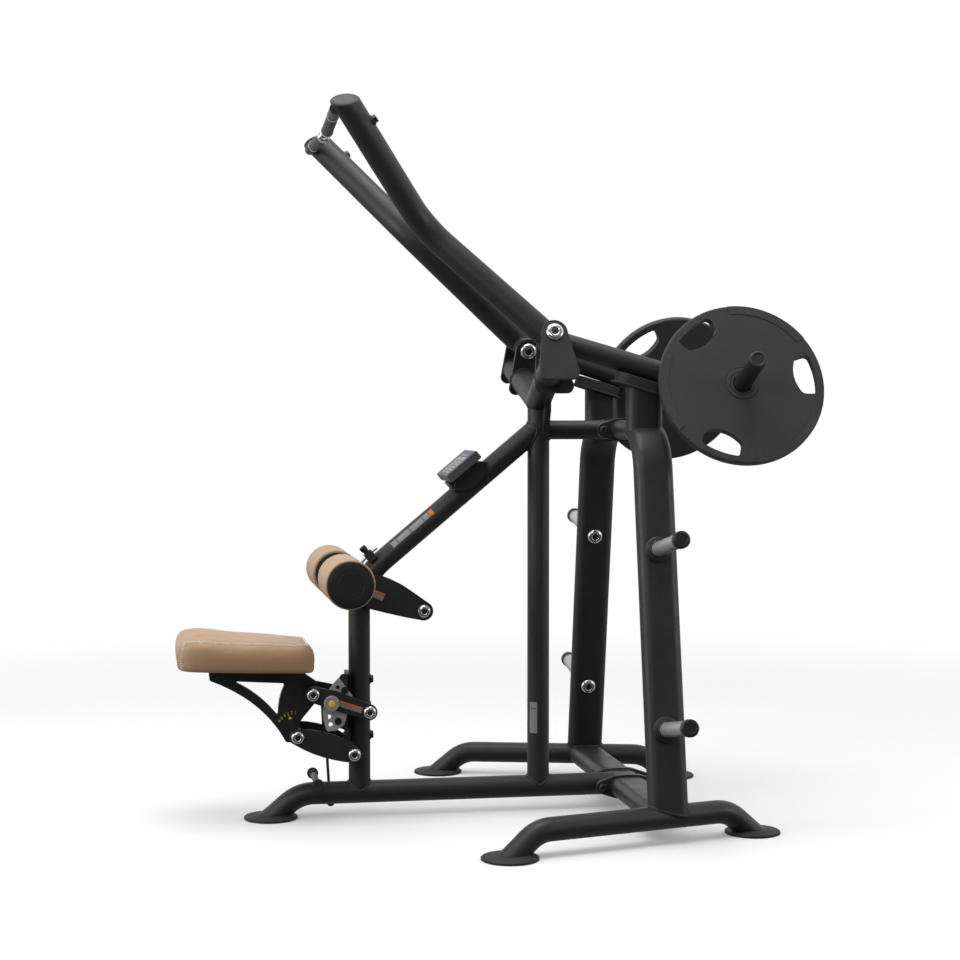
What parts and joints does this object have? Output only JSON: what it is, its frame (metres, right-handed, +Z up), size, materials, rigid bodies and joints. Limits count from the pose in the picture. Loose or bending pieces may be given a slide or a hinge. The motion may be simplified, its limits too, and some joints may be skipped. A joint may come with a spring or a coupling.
{
  "type": "lat pulldown machine",
  "caption": "Plate loaded lat pulldown machine with two independent lever arms, swivel grips, thigh rollers, a height adjustable seat and plate storage horns.",
  "frame": {"origin": "on the floor, under the middle of the machine's bounding box", "axes": "+Z up; +X from the seat towards the weight horns; +Y to the left of a seated user, who faces +X"},
  "size_m": [1.7709, 1.441, 1.9917],
  "materials": {
    "black_paint": "satin black powder coat with a fine texture",
    "charcoal_iron": "matt charcoal enamel on cast iron",
    "chrome": "polished chrome",
    "zinc": "zinc plated plate",
    "steel": "brushed bright steel",
    "black_rubber": "matt black moulded rubber",
    "grey_rubber": "dark grey matt rubber",
    "tan_vinyl": "tan vinyl upholstery with a fine grain",
    "grey_plastic": "dark grey moulded plastic"
  },
  "bodies": {
    "frame": {"base_spine": "black_paint", "upper_bar": "black_paint", "front_tube": "black_paint", "main_upright": "black_paint", "lower_front_tie_bolt": "black_paint", "lower_rear_tie_bolt": "black_paint", "upper_front_tie_bolt": "black_paint", "upper_rear_tie_bolt": "black_paint", "seat_mount_bracket": "black_paint", "sector_upper_bolt": "black_paint", "sector_lower_bolt": "black_paint", "thigh_pin_housing": "black_paint", "band_peg": "black_paint", "right_pivot_bracket": "black_paint", "right_skid": "black_paint", "right_post": "black_paint", "right_arm_axle": "chrome", "right_upper_horn": "steel", "right_lower_horn": "steel", "right_bumper": "black_rubber", "right_front_foot": "black_rubber", "right_rear_foot": "black_rubber", "left_pivot_bracket": "black_paint", "left_skid": "black_paint", "left_post": "black_paint", "left_arm_axle": "chrome", "left_upper_horn": "steel", "left_lower_horn": "steel", "left_bumper": "black_rubber", "left_front_foot": "black_rubber", "left_rear_foot": "black_rubber", "thigh_lever_bolt": "chrome", "sector_plate": "zinc", "front_foot": "black_rubber", "display_box": "grey_plastic", "display_saddle": "grey_plastic"},
    "right_arm_lever": {"right_arm": "black_paint", "right_grip_axle": "chrome"},
    "left_arm_lever": {"left_arm": "black_paint", "left_grip_axle": "chrome"},
    "right_hand_grip": {"right_grip": "grey_rubber"},
    "left_hand_grip": {"left_grip": "grey_rubber"},
    "right_plate": {"right_weight_plate": "charcoal_iron"},
    "left_plate": {"left_weight_plate": "charcoal_iron"},
    "seat_upper_link": {"upper_link": "black_paint"},
    "seat_lower_link": {"lower_link": "black_paint"},
    "seat_carriage": {"seat_bracket": "black_paint", "seat_cushion": "tan_vinyl", "upper_seat_axle": "chrome", "lower_seat_axle": "chrome"},
    "selector": {"selector_knob": "zinc"},
    "gas_rod": {"gas_spring_rod": "chrome"},
    "gas_cylinder": {"gas_spring_cylinder": "black_paint"},
    "thigh_arm": {"thigh_lever": "black_paint", "roller_axle": "black_rubber", "adjuster_rod": "chrome"},
    "right_roller": {"right_thigh_roller": "tan_vinyl"},
    "left_roller": {"left_thigh_roller": "tan_vinyl"},
    "thigh_pull_pin": {"thigh_pin": "black_paint"}
  },
  "joints": [
    {"name": "right_arm_pull", "type": "hinge", "parent": "frame", "child": "right_arm_lever", "pos_m": [0.15355, -0.2006, 1.356], "axis": [-0.0585, -0.9382, 0.3411], "range_deg": [0, 62]},
    {"name": "left_arm_pull", "type": "hinge", "parent": "frame", "child": "left_arm_lever", "pos_m": [0.15355, 0.2006, 1.356], "axis": [0.0585, -0.9382, -0.3411], "range_deg": [0, 62]},
    {"name": "right_grip_spin", "type": "hinge", "parent": "right_arm_lever", "child": "right_hand_grip", "pos_m": [-0.46445, -0.292, 1.9475], "axis": [0.0279, 0.9992, -0.0275], "continuous": true},
    {"name": "right_plate_slide", "type": "slide", "parent": "right_arm_lever", "child": "right_plate", "axis": [-0.0585, -0.9382, 0.3411], "range_m": [0, 0.15]},
    {"name": "left_grip_spin", "type": "hinge", "parent": "left_arm_lever", "child": "left_hand_grip", "pos_m": [-0.46445, 0.292, 1.9475], "axis": [0.0279, -0.9992, -0.0275], "continuous": true},
    {"name": "left_plate_slide", "type": "slide", "parent": "left_arm_lever", "child": "left_plate", "axis": [-0.0585, 0.9382, 0.3411], "range_m": [0, 0.15]},
    {"name": "seat_height", "type": "hinge", "parent": "frame", "child": "seat_upper_link", "pos_m": [-0.34435, 0, 0.3073], "axis": [0, 1, 0], "range_deg": [-33.6, 22.4]},
    {"name": "seat_level", "type": "hinge", "parent": "seat_upper_link", "child": "seat_carriage", "pos_m": [-0.50395, 0, 0.3613], "axis": [0, 1, 0], "range_deg": [-22.6, 33.8]},
    {"name": "seat_lower_swing", "type": "hinge", "parent": "frame", "child": "seat_lower_link", "pos_m": [-0.38815, 0, 0.188], "axis": [0, 1, 0], "range_deg": [-33.8, 22.6]},
    {"name": "selector_pull", "type": "slide", "parent": "seat_upper_link", "child": "selector", "axis": [0, -1, 0], "range_m": [0, 0.012], "stiffness_N_per_m": 600, "springref_m": -0.006},
    {"name": "gas_spring_tilt", "type": "hinge", "parent": "frame", "child": "gas_rod", "pos_m": [-0.44595, 0.0465, 0.035], "axis": [0, 1, 0], "range_deg": [-3.3, 2.3]},
    {"name": "gas_spring_stroke", "type": "slide", "parent": "gas_rod", "child": "gas_cylinder", "axis": [-0.0575, 0, 0.9983], "range_m": [-0.0705, 0.0475]},
    {"name": "thigh_height", "type": "hinge", "parent": "frame", "child": "thigh_arm", "pos_m": [-0.18405, 0, 0.5876], "axis": [0, 1, 0], "range_deg": [0, 16]},
    {"name": "right_roller_spin", "type": "hinge", "parent": "thigh_arm", "child": "right_roller", "pos_m": [-0.42245, -0.19, 0.689], "axis": [0, 1, 0], "continuous": true},
    {"name": "left_roller_spin", "type": "hinge", "parent": "thigh_arm", "child": "left_roller", "pos_m": [-0.42245, 0.19, 0.689], "axis": [0, 1, 0], "continuous": true},
    {"name": "thigh_pin_pull", "type": "slide", "parent": "frame", "child": "thigh_pull_pin", "axis": [-0.6909, 0, 0.723], "range_m": [0, 0.012], "stiffness_N_per_m": 600, "springref_m": -0.006}
  ],
  "couplings": [
    {"joint": "seat_level", "follows": "seat_height", "ratio": -1},
    {"joint": "seat_lower_swing", "follows": "seat_height", "ratio": 1},
    {"joint": "gas_spring_tilt", "follows": "seat_height", "ratio": 0.0923},
    {"joint": "gas_spring_stroke", "follows": "seat_height", "m_per_rad": 0.118}
  ]
}
